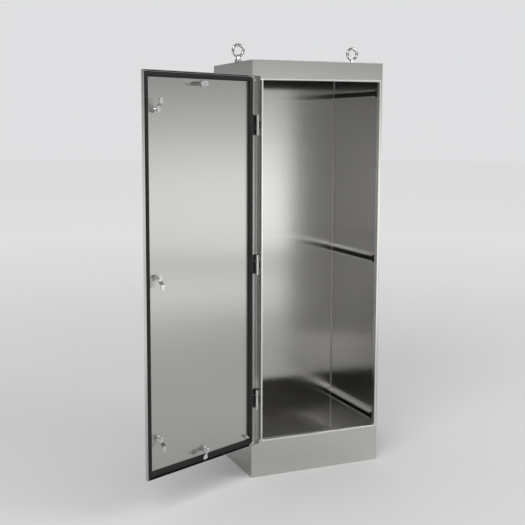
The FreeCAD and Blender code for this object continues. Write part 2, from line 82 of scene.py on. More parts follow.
# (bearing as a share of a turn, where 0.5 is -Y and 0.75 is +X, brightness there)
BEARING_STEPS = ((0.0, 0.80), (0.33, 0.80), (0.50, 1.05), (0.53, 1.40), (0.563, 1.48),
                 (0.588, 0.88), (0.62, 0.80), (0.66, 0.96), (0.69, 1.0), (0.80, 0.90),
                 (1.0, 0.80))
FLAG_RADIUS = 1.9          # the dark card before the cabinet that only reflections see
FLAG_FOOT = 0.01           # height of its lower edge
FLAG_HEIGHT = 2.4
FLAG_SPAN = (-58.0, -2.0)  # degrees from -Y towards +X
FLAG_STEPS = 24
FLAG_COLOUR = (0.30, 0.30, 0.295)
CIRCLE_STEPS = 96          # of the floors and the light ring
# each soft lamp: place, width and length in metres, watts
LAMP_AIM = (0, 0, 0.9)
LAMPS = {"key": ((-3.2, -3.4, 4.6), (2.6, 2.0), 130),
         "fill": ((3.4, -2.6, 3.8), (2.4, 2.0), 60)}

# ---------------------------------------------------------------- colours and grain
STEEL = (0.625, 0.618, 0.597)
# painted light: a rail's edges get a lighter copy of the steel as painted highlight, its channel a
# near-black copy as painted shade
RAIL_PAINTED_LIGHT_TINTS = (1.35, 0.13)  # lightness of a rail's edges and channel, as shares of STEEL
# painted light: knuckles painted lighter as painted highlight, the arm behind the barrel painted
# near-black as painted shade
KNUCKLE_PAINTED_HIGHLIGHT = (0.80, 0.79, 0.77)
ARM_PAINTED_SHADE = (0.17, 0.168, 0.163)
WELD_COLOURS = ((0.70, 0.69, 0.67), (0.62, 0.57, 0.50))
# waves per metre across and along the ground grain, and of the cloudy unevenness over it
FINE_GRAIN = (1300.0, 8.0)
BROAD_GRAIN = (110.0, 0.9)
CLOUDS = (2.6, 2.6, 1.7)

# ---------------------------------------------------------------- sizes of the added detail
OPEN_ANGLE = 157.0         # degrees the door stands open at rest
GASKET_WIDTH = 20 * MM
GASKET_CORNER = 14 * MM
GASKET_BEND = 1 * MM       # smallest corner radius on the seal's inner edge
# the seal's section from its outer to its inner edge, as shares of its width and height
GASKET_SECTION = ((0.0, 0.0), (0.0, 0.35), (0.02, 0.62), (0.07, 0.83), (0.15, 0.95), (0.26, 1.0),
                  (0.74, 1.0), (0.85, 0.95), (0.93, 0.83), (0.98, 0.62), (1.0, 0.35), (1.0, 0.0))
CORNER_STEPS = 8
ROUND_STEPS = 48
HEX_STEPS = 72
THREAD_STEPS = 6           # rings of points in each turn of a thread
THREAD_DEPTH = 0.5         # as a share of the pitch
THREAD_POINT = 1.2         # depth of the run-out at a thread's end, as a share of THREAD_DEPTH
BARREL_R = 9 * MM
BARREL_BORE = 5.06 * MM
BARREL_PITCH = 1.5 * MM
# the latch head, as (radius, height above the door face) in millimetres
HEAD_PROFILE = ((5.06, 0.5), (5.06, 0.0), (13.8, 0.0), (14.0, 0.3), (14.0, 3.2), (13.7, 3.9),
                (13.1, 4.35), (12.2, 4.5), (8.0, 4.5), (7.65, 4.35), (7.5, 4.0), (7.5, 0.5))
NUT_ACROSS = 24 * MM
NUT_HEIGHT = 6 * MM
STUD_R = 4 * MM
STUD_NUT_ACROSS = 13 * MM
STUD_PITCH = 1.25 * MM
NUT_CHAMFER = 0.95         # width of a nut's end faces as a share of its width across flats
NUT_LEVELS = (0.0, 0.33, 0.66, 1.0)     # rings of points up a nut's chamfer, as shares of it
NUT_MOUTH = 1.08           # radius of the countersunk bore at the ends, as a share of the bore's
NUT_SINK = 0.07            # depth of the countersink as a share of the nut's height
BEAD_PITCH = 2.2 * MM
BEAD_ROUND = 8
BEAD_SWELL = 0.10          # how much a bead swells with each ripple
BEAD_WANDER = 0.06         # how much it varies over longer lengths
WANDER_RATE = 1.7          # radians of that variation in each ripple
WANDER_SHIFT = 50          # radians by which it is shifted for each metre of the bead's height
BEAD_TIP = 0.05            # smallest section at a bead's ends
SEAM_INSET = 1.8 * MM      # of the inner corner seams, from both walls
SEAM_WIDTH = 7 * MM
SEAM_HEIGHT = 2 * MM
SEAM_GRAIN = 4 * MM        # distance between a long seam's rings of points
SEAM_FOOT = 10 * MM        # height of a corner seam's lower end
SEAM_STOP = 4 * MM         # from a corner seam's upper end to the roof
STITCH_LENGTH = 24 * MM    # of the short beads that hold a rail
STITCH_WIDTH = 4.5 * MM
STITCH_HEIGHT = 1.8 * MM
STITCH_MARGIN = 20 * MM    # from a rail's ends to its first and last bead
LEAF_ACROSS = (3.4 * MM, 1.4 * MM)     # width and height of the beads at a hinge leaf's ends
LEAF_DOWN = (3 * MM, 1.2 * MM)         # the same for the bead along its side
LEAF_SET_BACK = 12 * MM    # from the leaf's front to where its end beads start
LEAF_END_SET = 1.5 * MM    # of the end beads' middles, outside the opening lip
LEAF_SIDE_SET = 3 * MM     # of the side bead's middle, outside the opening lip
LEAF_SIDE_STOP = 2 * MM    # from the leaf's ends to the side bead's ends
TOOTH_PITCH = 4 * MM
TOOTH_DEPTH = 1.3 * MM
RAIL_SHEET = 2 * MM
RAIL_MOUTH = 21 * MM
RAIL_LIP = 6 * MM
RAIL_HALF = 17.5 * MM
KNUCKLE_REACH = 6.7 * MM   # how far the knuckles, painted lighter as painted highlight, reach from the hinge line
FORGING_GRAIN = 1.1 * MM   # cell size of the smoothed lifting eyes
FORGING_PASSES = 8         # of smoothing
TOOTH_ROOT = 0.1 * MM      # height left at the root of a tooth

# ---------------------------------------------------------------- places from the frame
JOINTS = {joint["name"]: joint for joint in frame["joints"]}
PIVOT = Vector(JOINTS["door_hinge"]["pos_m"])
SWING = (Matrix.Translation(PIVOT) @ Matrix.Rotation(math.radians(-OPEN_ANGLE), 4, "Z")
         @ Matrix.Translation(-PIVOT))
SHUT = SWING.inverted()
LATCHES = {name: SHUT @ Vector(JOINTS[name + "_latch_turn"]["pos_m"])
           for name in ("upper", "middle", "lower", "top", "bottom")}
OUT = Matrix.Rotation(math.radians(90), 4, "X")      # turns +Z towards -Y, out of the door
INTO = Matrix.Rotation(math.radians(-90), 4, "X")    # turns +Z towards +Y, into the cabinet
ACROSS = Matrix.Rotation(math.radians(90), 4, "Y")   # turns +Z towards +X
RAIL_FACE = -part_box("rail_left_top")[1].x            # the rails' open faces, from the middle
RAIL_CENTRES = {level: sum(corner.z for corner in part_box("rail_left_" + level)) / 2
                for level in ("top", "middle", "bottom")}


def shut_box(name):
    """Lowest and highest corner of a door node, with the door shut."""
    points = [SHUT @ vertex.co for vertex in frame["nodes"][name].data.vertices]
    lowest = Vector([min(point[axis] for point in points) for axis in range(3)])
    highest = Vector([max(point[axis] for point in points) for axis in range(3)])
    return lowest, highest


# ---------------------------------------------------------------- node helpers
def new_material(name):
    """A material, its node tree and its principled shader."""
    material = bpy.data.materials.new(name)
    material.use_nodes = True
    return material, material.node_tree, material.node_tree.nodes["Principled BSDF"]


def noise(tree, stretch, detail=3.0, roughness=0.5):
    """A noise that sticks to the piece, with so many waves per metre along X, Y and Z."""
    coords = tree.nodes.new("ShaderNodeTexCoord")
    mapping = tree.nodes.new("ShaderNodeMapping")
    texture = tree.nodes.new("ShaderNodeTexNoise")
    mapping.inputs["Scale"].default_value = stretch
    texture.inputs["Scale"].default_value = 1.0
    texture.inputs["Detail"].default_value = detail
    texture.inputs["Roughness"].default_value = roughness
    tree.links.new(coords.outputs["Object"], mapping.inputs["Vector"])
    tree.links.new(mapping.outputs["Vector"], texture.inputs["Vector"])
    return texture.outputs["Fac"]


def spread(tree, source, low, high, start=0.3, end=0.7):
    """A value taken from its usual range to another range."""
    node = tree.nodes.new("ShaderNodeMapRange")
    node.inputs["From Min"].default_value = start
    node.inputs["From Max"].default_value = end
    node.inputs["To Min"].default_value = low
    node.inputs["To Max"].default_value = high
    tree.links.new(source, node.inputs["Value"])
    return node.outputs["Result"]


def sums(tree, operation, first, second):
    """One sum of two values, either of which may be a plain number."""
    node = tree.nodes.new("ShaderNodeMath")
    node.operation = operation
    for socket, value in zip(node.inputs, (first, second)):
        if isinstance(value, float):
            socket.default_value = value
        else:
            tree.links.new(value, socket)
    return node.outputs["Value"]


def between(tree, share, first, second):
    """A colour between two colours."""
    node = tree.nodes.new("ShaderNodeMix")
    node.data_type = "RGBA"
    node.inputs[6].default_value = (*first, 1.0)
    node.inputs[7].default_value = (*second, 1.0)
    tree.links.new(share, node.inputs[0])
    return node.outputs[2]


def bump(tree, shader, height, strength, depth):
    """Relief from a height."""
    node = tree.nodes.new("ShaderNodeBump")
    node.inputs["Strength"].default_value = strength
    node.inputs["Distance"].default_value = depth
    tree.links.new(height, node.inputs["Height"])
    tree.links.new(node.outputs["Normal"], shader.inputs["Normal"])


def fill_ramp(ramp, steps):
    """Give a colour ramp its (place, brightness) steps, the last of them at 1.0."""
    elements = ramp.color_ramp.elements
    while len(elements) < len(steps):
        elements.new(1.0)
    for element, (place, level) in zip(elements, steps):
        element.position = place
        element.color = (level, level, level, 1.0)


def level_tangent(tree, shader):
    """Stretch reflections level on walls, across the vertical grain, and along X on flat tops."""
    geometry = tree.nodes.new("ShaderNodeNewGeometry")
    cross = tree.nodes.new("ShaderNodeVectorMath")
    cross.operation = "CROSS_PRODUCT"
    cross.inputs[1].default_value = (0, 0, 1)
    nudge = tree.nodes.new("ShaderNodeVectorMath")
    nudge.inputs[1].default_value = (0.001, 0, 0)
    tree.links.new(geometry.outputs["Normal"], cross.inputs[0])
    tree.links.new(cross.outputs["Vector"], nudge.inputs[0])
    tree.links.new(nudge.outputs["Vector"], shader.inputs["Tangent"])


# ---------------------------------------------------------------- materials
def scaled(colour, factor):
    """A colour made lighter or darker."""
    return tuple(channel * factor for channel in colour)


def stainless(name, tint, smoothest, roughest, along="Z", anisotropy=1.0, variation=0.01):
    """Satin stainless sheet with a ground grain along one axis."""
    material, tree, shader = new_material(name)
    fine, broad = (tuple(waves[axis == along] for axis in "XYZ")
                   for waves in (FINE_GRAIN, BROAD_GRAIN))
    grain = noise(tree, fine, 2.0)
    streaks = noise(tree, broad, 4.0)
    clouds = noise(tree, CLOUDS, 3.0)
    mottle = sums(tree, "ADD", sums(tree, "MULTIPLY", streaks, 0.4),
                  sums(tree, "MULTIPLY", clouds, 0.6))
    tone = spread(tree, mottle, 0.0, 1.0, 0.35, 0.65)
    colour = between(tree, tone, scaled(tint, 1 - variation), scaled(tint, 1 + variation))
    tree.links.new(colour, shader.inputs["Base Color"])
    satin = spread(tree, grain, smoothest, roughest)
    satin = sums(tree, "ADD", satin, spread(tree, clouds, -0.01, 0.01))
    tree.links.new(satin, shader.inputs["Roughness"])
    shader.inputs["Metallic"].default_value = 1.0
    shader.inputs["Anisotropic"].default_value = anisotropy
    level_tangent(tree, shader)
    bump(tree, shader, grain, 0.01, 0.1 * MM)
    return material


def rail_look(name, centre):
    """Rail edges painted lighter as painted highlight, the dull channel behind its lips near-black
    as painted shade.
    """
    material, tree, shader = new_material(name)
    coords = tree.nodes.new("ShaderNodeTexCoord")
    split = tree.nodes.new("ShaderNodeSeparateXYZ")
    tree.links.new(coords.outputs["Object"], split.inputs["Vector"])
    depth = sums(tree, "ABSOLUTE", split.outputs["X"], 0.0)
    rise = sums(tree, "ABSOLUTE", sums(tree, "SUBTRACT", split.outputs["Z"], centre), 0.0)
    # painted shade: a mask of the channel behind the lips and between the flanges, which is painted
    # near-black
    behind = sums(tree, "GREATER_THAN", depth, RAIL_FACE + RAIL_LIP + TOOTH_DEPTH)
    within = sums(tree, "LESS_THAN", rise, RAIL_HALF - RAIL_SHEET / 2)
    channel = sums(tree, "MULTIPLY", behind, within)
    scuffs = noise(tree, (240.0, 30.0, 240.0), 4.0)
    tone = sums(tree, "ADD", channel, spread(tree, scuffs, -0.06, 0.06))
    # the lighter edge colour is painted highlight; the near-black channel colour is painted shade
    edge, painted_shade_colour = (scaled(STEEL, tint) for tint in RAIL_PAINTED_LIGHT_TINTS)
    tree.links.new(between(tree, tone, edge, painted_shade_colour), shader.inputs["Base Color"])
    tree.links.new(spread(tree, scuffs, 0.42, 0.54), shader.inputs["Roughness"])
    shader.inputs["Metallic"].default_value = 1.0
    bump(tree, shader, scuffs, 0.03, 0.1 * MM)
    return material


def hinge_look(name):
    """Hinge knuckles painted lighter as painted highlight, on a leaf whose duller arm is painted
    near-black as painted shade.
    """
    material, tree, shader = new_material(name)
    coords = tree.nodes.new("ShaderNodeTexCoord")
    flat = tree.nodes.new("ShaderNodeVectorMath")
    flat.operation = "MULTIPLY"
    flat.inputs[1].default_value = (1.0, 1.0, 0.0)
    away = tree.nodes.new("ShaderNodeVectorMath")
    away.operation = "DISTANCE"
    away.inputs[1].default_value = (PIVOT.x, PIVOT.y, 0.0)
    tree.links.new(coords.outputs["Object"], flat.inputs[0])
    tree.links.new(flat.outputs["Vector"], away.inputs[0])
    # painted shade: beyond the knuckles the arm is painted near-black
    arm = spread(tree, away.outputs["Value"], 0.0, 1.0, KNUCKLE_REACH, KNUCKLE_REACH + 0.4 * MM)
    scuffs = noise(tree, (200.0, 200.0, 500.0), 4.0)
    shade = sums(tree, "ADD", arm, spread(tree, scuffs, -0.08, 0.08))
    tree.links.new(between(tree, shade, KNUCKLE_PAINTED_HIGHLIGHT, ARM_PAINTED_SHADE), shader.inputs["Base Color"])
    tree.links.new(sums(tree, "ADD", spread(tree, scuffs, 0.14, 0.24),
                        sums(tree, "MULTIPLY", arm, 0.25)), shader.inputs["Roughness"])
    shader.inputs["Metallic"].default_value = 1.0
    bump(tree, shader, scuffs, 0.04, 0.1 * MM)
    return material


def plated(name, tint, smoothest, roughest, relief, scale=260.0):
    """Bright plating or turned steel with light scuffs and pitting."""
    material, tree, shader = new_material(name)
    pits = noise(tree, (scale * 4, scale * 4, scale * 4), 3.0)
    scuffs = noise(tree, (scale, scale, scale * 0.4), 5.0, 0.65)
    colour = between(tree, spread(tree, scuffs, 0.0, 1.0), scaled(tint, 0.82), scaled(tint, 1.08))
    tree.links.new(colour, shader.inputs["Base Color"])
    tree.links.new(spread(tree, scuffs, smoothest, roughest), shader.inputs["Roughness"])
    shader.inputs["Metallic"].default_value = 1.0
    bump(tree, shader, pits, relief, 0.15 * MM)
    return material


def weld_metal(name):
    """Bright weld bead with a faint straw heat colour."""
    material, tree, shader = new_material(name)
    heat = noise(tree, (90.0, 90.0, 90.0), 3.0)
    ripple = noise(tree, (900.0, 900.0, 900.0), 2.0)
    colour = between(tree, spread(tree, heat, 0.0, 1.0), *WELD_COLOURS)
    tree.links.new(colour, shader.inputs["Base Color"])
    tree.links.new(spread(tree, ripple, 0.24, 0.42), shader.inputs["Roughness"])
    shader.inputs["Metallic"].default_value = 1.0
    bump(tree, shader, ripple, 0.15, 0.1 * MM)
    return material


def dull(name, dark, light, smoothest, roughest, scale, relief, depth):
    """A non-metal: foam, rubber or powder coat, with its own texture size."""
    material, tree, shader = new_material(name)
    texture = noise(tree, (scale, scale, scale), 4.0, 0.6)
    patches = noise(tree, (scale * 0.03, scale * 0.03, scale * 0.03), 2.0)
    tone = sums(tree, "ADD", sums(tree, "MULTIPLY", texture, 0.6),
                sums(tree, "MULTIPLY", patches, 0.4))
    colour = between(tree, spread(tree, tone, 0.0, 1.0), dark, light)
    tree.links.new(colour, shader.inputs["Base Color"])
    shader.inputs["Specular IOR Level"].default_value = 0.3
    tree.links.new(spread(tree, texture, smoothest, roughest), shader.inputs["Roughness"])
    bump(tree, shader, texture, relief, depth)
    return material


# one look for each of the frame's material names, apart from the rails', which rail_look makes
LOOKS = {
    "body_stainless": stainless("body_satin", scaled(STEEL, 1.03), 0.165, 0.20),
    "door_stainless": stainless("door_satin", STEEL, 0.17, 0.21),
    # painted highlight: the opening lip gets a much lighter copy of the same steel
    "lip_stainless": stainless("lip_painted_highlight", scaled(STEEL, 1.42), 0.22, 0.30, anisotropy=0.5),
    "plain_steel": stainless("plain_mill", scaled(STEEL, 0.86), 0.32, 0.48, "Y", 0.2, 0.04),
    "hinge_steel": hinge_look("hinge_painted_light"),
    "bright_zinc": plated("zinc_bright", (0.88, 0.89, 0.89), 0.06, 0.16, 0.06),
    "eye_forged": plated("eye_forged", (0.62, 0.62, 0.63), 0.12, 0.26, 0.15, 150.0),
    "latch_black": dull("latch_coat", (0.012, 0.012, 0.012), (0.022, 0.022, 0.021), 0.34, 0.46,
                        1800.0, 0.25, 0.05 * MM),
    "latch_core": dull("core_oxide", (0.018, 0.018, 0.019), (0.035, 0.034, 0.033), 0.30, 0.45,
                       1200.0, 0.15, 0.05 * MM),
    "gasket_foam": dull("gasket_foam", (0.008, 0.008, 0.008), (0.018, 0.018, 0.017), 0.55, 0.75,
                        700.0, 0.35, 0.2 * MM),
    "washer_rubber": dull("washer_rubber", (0.016, 0.016, 0.016), (0.03, 0.03, 0.03), 0.5, 0.65,
                          500.0, 0.2, 0.1 * MM),
}
WELD = weld_metal("weld_bead")
# painted light: the header, plinth and latch jamb get a lighter copy of the same steel than the
# door
FRONT_FACE_PAINTED_LIGHT = stainless("front_painted_light", scaled(STEEL, 1.16), 0.165, 0.20)
ROOF = stainless("roof_satin", scaled(STEEL, 1.05), 0.26, 0.36, "X", 0.7)
FLOOR_PAN = stainless("floor_pan_satin", scaled(STEEL, 0.95), 0.26, 0.36, "X", 0.7)


# ---------------------------------------------------------------- mesh helpers
def skin(build, rows, loop=False):
    """Faces through rows of points, each row closed; the last row joins the first in a loop."""
    lines = [[build.verts.new(point) for point in row] for row in rows]
    following = lines[1:] + lines[:1] if loop else lines[1:]
    for line, after in zip(lines, following):
        for step in range(len(line)):
            turn = (step + 1) % len(line)
            build.faces.new((line[step], line[turn], after[turn], after[step]))
    if not loop:
        build.faces.new(lines[0][::-1])
        build.faces.new(lines[-1])


def round_row(place, height, reach, steps):
    """Points round +Z of a placing matrix; reach gives the radius at an angle."""
    row = []
    for step in range(steps):
        angle = math.tau * step / steps
        radius = reach(angle)
        row.append(place @ Vector((radius * math.cos(angle), radius * math.sin(angle), height)))
    return row


def lathe(build, place, profile):
    """A turned ring from a closed profile of (radius, height) in millimetres."""
    rows = [round_row(place, height * MM, lambda angle, r=radius: r * MM, ROUND_STEPS)
            for radius, height in profile]
    skin(build, rows, loop=True)


def thread_rows(place, radius, pitch, length):
    """Rows of points over a threaded length."""
    count = round(length / pitch * THREAD_STEPS)
    rows = []
    for index in range(count + 1):
        turns = index / THREAD_STEPS
        fade = min(1.0, (count - index) / THREAD_STEPS)

        def reach(angle, turns=turns, fade=fade):
            wave = abs(2 * ((turns - angle / math.tau) % 1.0) - 1)
            return radius - pitch * THREAD_DEPTH * (wave * fade + THREAD_POINT * (1 - fade))
        rows.append(round_row(place, length * index / count, reach, ROUND_STEPS))
    return rows


def nut(build, place, across, height, bore):
    """A hexagon nut with chamfered corners, standing on the placing matrix."""
    flat = across / 2
    corner = flat / math.cos(math.radians(30))
    slope = math.tan(math.radians(30))
    drop = (corner - flat * NUT_CHAMFER) * slope
    levels = [share * drop for share in NUT_LEVELS]
    levels += [height - level for level in reversed(levels)]

    def ring(level):
        limit = flat * NUT_CHAMFER + min(level, height - level) / slope
        return round_row(place, level, lambda angle: min(
            limit, flat / math.cos((angle % math.radians(60)) - math.radians(30))), HEX_STEPS)
    rows = [ring(level) for level in levels]
    for level, radius in ((height, bore * NUT_MOUTH), (height * (1 - NUT_SINK), bore),
                          (height * NUT_SINK, bore), (0.0, bore * NUT_MOUTH)):
        rows.append(round_row(place, level, lambda angle, r=radius: r, HEX_STEPS))
    skin(build, rows, loop=True)


def bead(build, start, end, up, width, height, grain=BEAD_PITCH / 4):
    """A rippled weld bead along a line, standing towards up."""
    start, end, up = Vector(start), Vector(end), Vector(up).normalized()
    along = (end - start).normalized()
    side = along.cross(up)
    length = (end - start).length
    count = max(4, round(length / grain))
    rows = []
    for index in range(count + 1):
        place = length * index / count
        drift = place / BEAD_PITCH * WANDER_RATE + start.z * WANDER_SHIFT
        swell = 1 - BEAD_SWELL + BEAD_SWELL * math.sin(math.tau * place / BEAD_PITCH)
        swell *= 1 + BEAD_WANDER * math.sin(drift)
        swell *= math.sqrt(max(BEAD_TIP, min(1.0, place / width, (length - place) / width)))
        row = []
        for step in range(BEAD_ROUND):
            angle = math.tau * step / BEAD_ROUND
            row.append(start + along * place + side * (width / 2 * swell * math.cos(angle))
                       + up * (height * swell * math.sin(angle)))
        rows.append(row)
    skin(build, rows)


def piece_from(build, name, body, slot, look=None, sharp=40.0):
    """Turn a finished build into a shaded piece that rides on a body."""
    if body == "door":
        build.transform(SWING)
    bmesh.ops.recalc_face_normals(build, faces=build.faces)
    mesh = bpy.data.meshes.new(name)
    build.to_mesh(mesh)
    build.free()
    mesh.shade_smooth()
    mesh.set_sharp_from_angle(angle=math.radians(sharp))
    mesh.materials.append(look or LOOKS[slot])
    piece = bpy.data.objects.new(name, mesh)
    bpy.context.scene.collection.objects.link(piece)
    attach(piece, body)
    return piece


# ---------------------------------------------------------------- added pieces
def add_gasket():
    """The foam seal: one crowned bead that runs round the door without a joint."""
    sides = ["door_gasket_" + side for side in ("top", "right", "bottom", "left")]
    boxes = [shut_box(name) for name in sides]
    x0 = min(low.x for low, _ in boxes)
    x1 = max(high.x for _, high in boxes)
    z0 = min(low.z for low, _ in boxes)
    z1 = max(high.z for _, high in boxes)
    base, crown = boxes[0][0].y, boxes[0][1].y
    build = bmesh.new()
    rows = []
    for across, up in GASKET_SECTION:
        inset = across * GASKET_WIDTH
        radius = max(GASKET_CORNER - inset, GASKET_BEND)
        middles = ((x1, z1, -1, -1, 0), (x0, z1, 1, -1, 90), (x0, z0, 1, 1, 180),
                   (x1, z0, -1, 1, 270))
        row = []
        for x, z, to_x, to_z, first in middles:
            for step in range(CORNER_STEPS + 1):
                angle = math.radians(first + 90 * step / CORNER_STEPS)
                row.append(Vector((x + to_x * (inset + radius) + radius * math.cos(angle),
                                   base + up * (crown - base),
                                   z + to_z * (inset + radius) + radius * math.sin(angle))))
        rows.append(row)
    skin(build, rows, loop=True)
    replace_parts(piece_from(build, "door_gasket_ring", "door", "gasket_foam", sharp=60.0), *sides)


def add_latches():
    """Black latch heads, threaded barrels and chamfered nuts."""
    face, inner = shut_box("door_panel")[0].y, shut_box("latch_nuts")[0].y
    heads, barrels, nuts = bmesh.new(), bmesh.new(), bmesh.new()
    for centre in LATCHES.values():
        lathe(heads, Matrix.Translation((centre.x, face, centre.z)) @ OUT, HEAD_PROFILE)
        place = Matrix.Translation((centre.x, face, centre.z)) @ INTO
        length = centre.y - face
        rows = thread_rows(place, BARREL_R, BARREL_PITCH, length)
        rows += [round_row(place, level, lambda angle: BARREL_BORE, ROUND_STEPS)
                 for level in (length, 0.0)]
        skin(barrels, rows, loop=True)
        seat = Matrix.Translation((centre.x, inner, centre.z)) @ INTO
        nut(nuts, seat, NUT_ACROSS, NUT_HEIGHT, BARREL_R)
    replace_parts(piece_from(heads, "latch_heads", "door", "latch_black"), "latch_housings")
    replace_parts(piece_from(barrels, "latch_barrels", "door", "bright_zinc"), "latch_housings")
    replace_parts(piece_from(nuts, "latch_hex_nuts", "door", "bright_zinc", sharp=25.0),
                "latch_nuts")


def add_studs():
    """Threaded earthing studs with chamfered nuts, on the door and on the left wall."""
    for name, body, turn in (("door_earth", "door", INTO), ("body_earth", "cabinet", ACROSS)):
        box = shut_box if body == "door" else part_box
        low, high = box(name + "_stud")
        nut_low, nut_high = box(name + "_nut")
        axis = turn @ Vector((0, 0, 1))
        middle = (low + high) / 2
        length = (high - low).dot(axis)
        foot = middle - axis * length / 2
        stud, hexagon = bmesh.new(), bmesh.new()
        skin(stud, thread_rows(Matrix.Translation(foot) @ turn, STUD_R, STUD_PITCH, length))
        seat = middle + axis * (nut_low - middle).dot(axis)
        nut(hexagon, Matrix.Translation(seat) @ turn, STUD_NUT_ACROSS,
            (nut_high - nut_low).dot(axis), STUD_R)
        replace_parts(piece_from(stud, name + "_threaded_stud", body, "bright_zinc"),
                    name + "_stud")
        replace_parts(piece_from(hexagon, name + "_hex_nut", body, "bright_zinc", sharp=25.0),
                    name + "_nut")


def add_eyes():
    """Lifting eyes with the soft blends of a forging."""
    for side in ("left", "right"):
        node = frame["nodes"]["lifting_eye_" + side]
        rough = bpy.data.objects.new("rough_eye", node.data.copy())
        bpy.context.scene.collection.objects.link(rough)
        cells = rough.modifiers.new("cells", "REMESH")
        cells.mode = "VOXEL"
        cells.voxel_size = FORGING_GRAIN
        soften = rough.modifiers.new("soften", "SMOOTH")
        soften.factor = 0.5
        soften.iterations = FORGING_PASSES
        shape = rough.evaluated_get(bpy.context.evaluated_depsgraph_get())
        build = bmesh.new()
        build.from_mesh(shape.to_mesh())
        bpy.data.objects.remove(rough)
        piece = piece_from(build, "lifting_eye_forged_" + side, "cabinet", "eye_forged",
                           sharp=180.0)
        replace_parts(piece, "lifting_eye_" + side)


def rails():
    """Each rail's lowest and highest corner, and the way along X that it faces."""
    for name in frame["nodes"]:
        if name.startswith("rail_"):
            yield (*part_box(name), 1 if name.startswith("rail_left") else -1)


def add_rail_teeth():
    """The gripping teeth along both turned-back lips of every rail."""
    build = bmesh.new()
    for low, high, inward in rails():
        face = high.x if inward > 0 else low.x
        edge = face - inward * RAIL_LIP
        middle = (low.z + high.z) / 2
        for foot in (middle - RAIL_MOUTH / 2 - RAIL_SHEET, middle + RAIL_MOUTH / 2):
            count = 2 * int((high.y - low.y) / TOOTH_PITCH)
            rows = []
            for index in range(count + 1):
                y = low.y + index * TOOTH_PITCH / 2
                tip = edge - inward * (TOOTH_DEPTH if index % 2 else TOOTH_ROOT)
                rows.append([(edge, y, foot), (tip, y, foot), (tip, y, foot + RAIL_SHEET),
                             (edge, y, foot + RAIL_SHEET)])
            skin(build, [[Vector(point) for point in row] for row in rows])
    piece_from(build, "rail_lip_teeth", "cabinet", "rail_steel", LOOKS["bright_zinc"], 20.0)


def add_welds():
    """Beads on the hinge leaves and rails, and down the cabinet's inner corners."""
    build = bmesh.new()
    lip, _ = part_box("opening_lip_left")
    for level in ("upper", "middle", "lower"):
        low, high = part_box("hinge_leaf_body_" + level)
        for z in (low.z, high.z):
            up = 1 if z == high.z else -1
            x = lip.x - LEAF_END_SET
            bead(build, (x, low.y + LEAF_SET_BACK, z), (x, high.y, z), (0, 0, up), *LEAF_ACROSS)
        x = lip.x - LEAF_SIDE_SET
        bead(build, (x, high.y, low.z + LEAF_SIDE_STOP), (x, high.y, high.z - LEAF_SIDE_STOP),
             (-1, -1, 0), *LEAF_DOWN)
    low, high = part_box("back_panel")
    for x, side in ((low.x, 1), (high.x, -1)):
        x += side * SEAM_INSET
        y = low.y - SEAM_INSET
        bead(build, (x, y, SEAM_FOOT), (x, y, high.z - SEAM_STOP), (side, -1, 0), SEAM_WIDTH,
             SEAM_HEIGHT, SEAM_GRAIN)
    for low, high, inward in rails():
        wall = low.x if inward > 0 else high.x
        for z, up in ((low.z, -1), (high.z, 1)):
            for start in (low.y + STITCH_MARGIN, (low.y + high.y - STITCH_LENGTH) / 2,
                          high.y - STITCH_MARGIN - STITCH_LENGTH):
                bead(build, (wall, start, z), (wall, start + STITCH_LENGTH, z),
                     (inward, 0, up), STITCH_WIDTH, STITCH_HEIGHT)
    piece_from(build, "weld_beads", "cabinet", "body_stainless", WELD, 60.0)


def finish_frame():
    """Give every CAD node its procedural material."""
    special = {"top_panel": ROOF, "floor_pan": FLOOR_PAN, "front_header": FRONT_FACE_PAINTED_LIGHT,
               "front_plinth": FRONT_FACE_PAINTED_LIGHT, "latch_jamb": FRONT_FACE_PAINTED_LIGHT}
    for level, centre in RAIL_CENTRES.items():
        # rails get painted edge highlight and painted channel shade
        look = rail_look("rail_painted_light_" + level, centre)
        special["rail_left_" + level] = look
        special["rail_right_" + level] = look
    for name, node in frame["nodes"].items():
        slot = node.material_slots[0]
        slot.material = special.get(name) or LOOKS[slot.name]


# ---------------------------------------------------------------- stage
def stage_object(build, name):
    """A floor or card from a finished build, still without its material."""
    mesh = bpy.data.meshes.new(name)
    build.to_mesh(mesh)
    build.free()
    made = bpy.data.objects.new(name, mesh)
    bpy.context.scene.collection.objects.link(made)
    return made


def glow_material(name):
    """A material of light alone, its node tree and its glow."""
    material = bpy.data.materials.new(name)
    material.use_nodes = True
    tree = material.node_tree
    tree.nodes.clear()
    glow = tree.nodes.new("ShaderNodeEmission")
    output = tree.nodes.new("ShaderNodeOutputMaterial")
    tree.links.new(glow.outputs["Emission"], output.inputs["Surface"])
    return material, tree, glow


def add_floor(name, steps):
    """A pale floor, paler farther off."""
    disc = bmesh.new()
    bmesh.ops.create_circle(disc, cap_ends=True, radius=FLOOR_RADIUS, segments=CIRCLE_STEPS)
    floor = stage_object(disc, name)
    material, tree, shader = new_material(name)
    coords = tree.nodes.new("ShaderNodeTexCoord")
    reach = tree.nodes.new("ShaderNodeVectorMath")
    reach.operation = "LENGTH"
    tree.links.new(coords.outputs["Object"], reach.inputs[0])
    distance = sums(tree, "ADD", reach.outputs["Value"],
                    spread(tree, noise(tree, (6.0, 6.0, 6.0), 5.0), -0.05, 0.05))
    paint = tree.nodes.new("ShaderNodeValToRGB")
    fill_ramp(paint, steps)
    tree.links.new(spread(tree, distance, 0.0, 1.0, 0.0, FLOOR_REACH), paint.inputs["Fac"])
    tree.links.new(paint.outputs["Color"], shader.inputs["Base Color"])
    shader.inputs["Roughness"].default_value = 0.85
    shader.inputs["Specular IOR Level"].default_value = 0.15
    floor.data.materials.append(material)
    return floor


def hide_card(card, material):
    """Keep a glowing card out of everything but reflections."""
    material.cycles.emission_sampling = "NONE"
    card.visible_camera = False
    card.visible_diffuse = False
    card.visible_shadow = False


